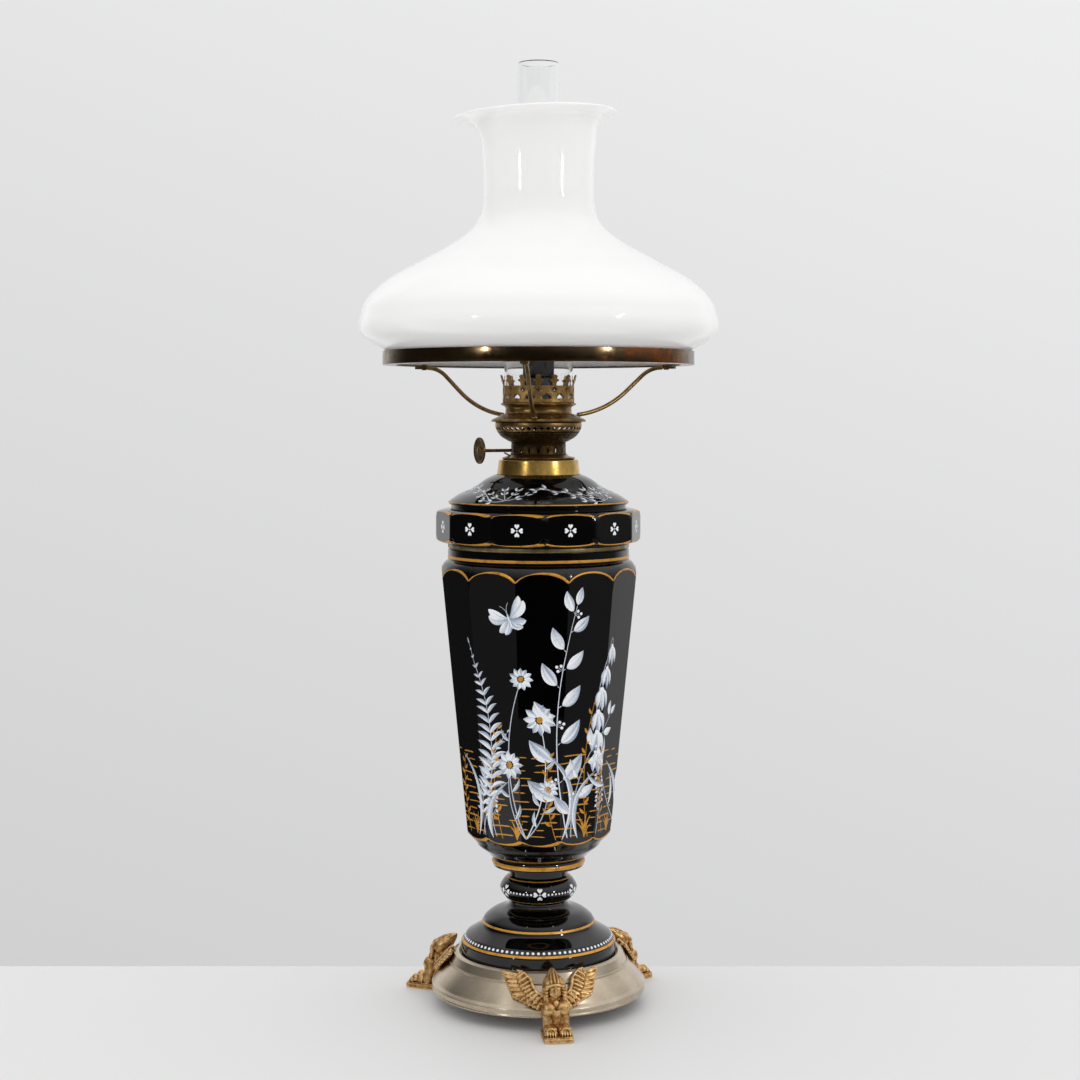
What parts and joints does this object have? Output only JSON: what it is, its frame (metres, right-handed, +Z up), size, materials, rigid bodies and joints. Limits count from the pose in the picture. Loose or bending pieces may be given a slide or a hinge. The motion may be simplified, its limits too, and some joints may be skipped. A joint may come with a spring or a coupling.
{
  "type": "table oil lamp",
  "caption": "Tall oil lamp: faceted dark glass vase on a metal base with cast feet, drop-in font, round-wick burner, glass chimney and domed opal shade on a ring.",
  "frame": {"origin": "on the table, below the lamp's axis", "axes": "+Z up the lamp's axis, -Y towards the front, +X to the right seen from the front"},
  "size_m": [0.271, 0.271, 0.7072],
  "materials": {
    "nickel": "worn satin nickel plate",
    "gilt_bronze": "worn gilding over cast metal",
    "steel": "plain turned steel",
    "black_glass": "glossy opaque black glass",
    "leather": "plain",
    "brass": "aged, satin",
    "gasket": "dull",
    "burner_brass": "aged, reddish, satin",
    "knob_brass": "aged, satin",
    "cotton": "woven",
    "dark_brass": "dark patina",
    "opal_glass": "glossy white opal glass",
    "clear_glass": "clear"
  },
  "bodies": {
    "stand": {"base_ring": "nickel", "base_plate": "steel", "sphinx_front": "gilt_bronze", "sphinx_right": "gilt_bronze", "sphinx_left": "gilt_bronze", "foot_screws": "steel", "foot_washers": "steel", "glass_foot": "black_glass", "stem_washer": "leather", "vase": "black_glass", "tie_rod": "steel", "inner_washer": "steel", "inner_nut": "steel", "under_washer": "steel", "under_nut": "steel", "mount_ring": "brass"},
    "font": {"font": "black_glass", "collar": "brass"},
    "gasket": {"burner_gasket": "gasket"},
    "burner": {"burner_base": "burner_brass", "drum": "burner_brass", "air_basket": "burner_brass", "wick_tube": "burner_brass", "draught_tube": "burner_brass", "raiser_bracket": "burner_brass"},
    "raiser": {"wick_shaft": "burner_brass", "spur_wheels": "steel", "knob": "knob_brass"},
    "wick": {"wick": "cotton"},
    "gallery": {"gallery_plate": "burner_brass", "crown": "burner_brass", "arm_front": "burner_brass", "arm_right": "burner_brass", "arm_left": "burner_brass", "arm_rivets": "burner_brass", "shade_ring": "dark_brass"},
    "shade": {"shade": "opal_glass"},
    "chimney": {"chimney": "clear_glass"}
  },
  "joints": [
    {"name": "font_lift", "type": "slide", "parent": "stand", "child": "font", "axis": [0, 0, 1], "range_m": [0, 0.09]},
    {"name": "gasket_rise", "type": "slide", "parent": "font", "child": "gasket", "axis": [0, 0, 1], "range_m": [0, 0.0074]},
    {"name": "burner_unscrew", "type": "hinge", "parent": "gasket", "child": "burner", "pos_m": [0, 0, 0.41], "axis": [0, 0, 1], "range_deg": [0, 1440]},
    {"name": "knob_turn", "type": "hinge", "parent": "burner", "child": "raiser", "pos_m": [-0.00615, 0.01319, 0.41445], "axis": [-0.9063, -0.4226, 0], "range_deg": [-70, 170]},
    {"name": "wick_rise", "type": "slide", "parent": "burner", "child": "wick", "axis": [0, 0, 1], "range_m": [-0.0037, 0.009]},
    {"name": "gallery_lift", "type": "slide", "parent": "burner", "child": "gallery", "axis": [0, 0, 1], "range_m": [0, 0.06]},
    {"name": "shade_lift", "type": "slide", "parent": "gallery", "child": "shade", "axis": [0, 0, 1], "range_m": [0, 0.24]},
    {"name": "chimney_lift", "type": "slide", "parent": "gallery", "child": "chimney", "axis": [0, 0, 1], "range_m": [0, 0.27]}
  ],
  "couplings": [
    {"joint": "gasket_rise", "follows": "burner_unscrew", "m_per_rad": 0.00028871},
    {"joint": "wick_rise", "follows": "knob_turn", "m_per_rad": 0.003}
  ]
}
